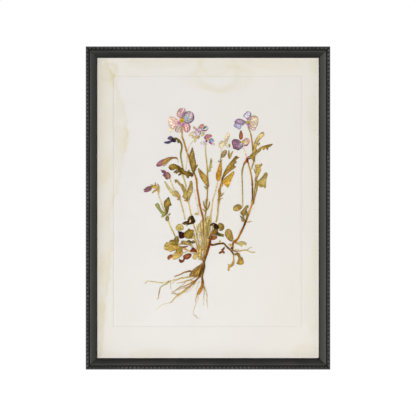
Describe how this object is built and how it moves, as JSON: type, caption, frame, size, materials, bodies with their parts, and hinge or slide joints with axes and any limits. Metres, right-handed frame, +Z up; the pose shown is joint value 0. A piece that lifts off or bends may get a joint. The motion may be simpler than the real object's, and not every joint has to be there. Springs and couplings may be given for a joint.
{
  "type": "pressed flower frame",
  "caption": "Slim dark hanging frame with a whole pressed viola, from flowers to roots, mounted on an aged paper sheet behind glass.",
  "frame": {"origin": "the hang point: on the wall plane at the frame's back, midway across, where a nail head stands under the hanger's teeth, 128 mm above the middle of the frame", "axes": "+Z up along the frame's height, +Y from the front into the wall, +X to the viewer's right when the front is looked at"},
  "size_m": [0.2444, 0.018, 0.323],
  "materials": {
    "frame_paint": "charcoal black paint, satin, over turned wood moulding",
    "clear_glass": "clear float glass, polished",
    "aged_paper": "uncoated rag paper, aged cream with tan water stains",
    "fibreboard": "brown hardboard, matte",
    "zinc_steel": "zinc plated sheet steel",
    "stem_tan": "dried plant stem, dull gold brown",
    "petal_ghost": "bleached dried petal and stem, matte",
    "crown_brown": "dried woody rootstock, red brown",
    "root_brown": "dried root, olive to tan",
    "petal_lilac": "dried petals, lilac, rose and cream",
    "petal_plum": "dried petals, plum and indigo",
    "leaf_olive": "dried leaf, olive",
    "leaf_gold": "dried leaf, khaki to gold",
    "leaf_dark": "dried leaf, nearly black"
  },
  "bodies": {
    "root": {"rail_bottom": "frame_paint", "rail_right": "frame_paint", "rail_top": "frame_paint", "rail_left": "frame_paint", "glass": "clear_glass", "sheet": "aged_paper", "backing_board": "fibreboard", "hanger": "zinc_steel", "driver_point_left_upper": "zinc_steel", "driver_point_left_lower": "zinc_steel", "driver_point_right_upper": "zinc_steel", "driver_point_right_lower": "zinc_steel", "stem_tall_left": "stem_tan", "stem_left_bud": "stem_tan", "stem_middle": "stem_tan", "stem_low_bud": "stem_tan", "stem_far_left": "stem_tan", "stem_short_right": "stem_tan", "stem_right": "stem_tan", "stem_right_flower": "stem_tan", "stem_right_inner": "stem_tan", "twig": "stem_tan", "stem_faded": "petal_ghost", "flower_faded": "petal_ghost", "crown": "crown_brown", "runner": "crown_brown", "root_head": "root_brown", "root_long": "root_brown", "root_drop": "root_brown", "root_middle": "root_brown", "root_lower": "root_brown", "root_thread": "root_brown", "flower_large": "petal_lilac", "flower_small_left": "petal_lilac", "flower_small_middle": "petal_lilac", "flower_right": "petal_lilac", "flower_plum": "petal_plum", "bud_indigo": "petal_plum", "bud_hooked": "petal_plum", "bud_open": "petal_plum", "bud_far_left": "petal_plum", "leaf_hooked": "leaf_olive", "leaf_pair_left": "leaf_olive", "leaf_tall": "leaf_olive", "leaf_middle_right": "leaf_olive", "leaf_middle_left": "leaf_olive", "leaf_pair_right": "leaf_olive", "leaf_group_low_right": "leaf_olive", "leaf_pair_far_left": "leaf_olive", "leaf_left_long": "leaf_gold", "leaf_orange": "leaf_gold", "leaf_pair_top_right": "leaf_gold", "leaf_group_right": "leaf_gold", "leaf_low_round": "leaf_gold", "leaf_fan": "leaf_gold", "leaf_low_left": "leaf_gold", "leaf_low_middle": "leaf_gold", "leaf_pair_centre": "leaf_gold", "leaf_dark_upper": "leaf_dark", "leaf_low_right": "leaf_dark"}
  },
  "joints": []
}
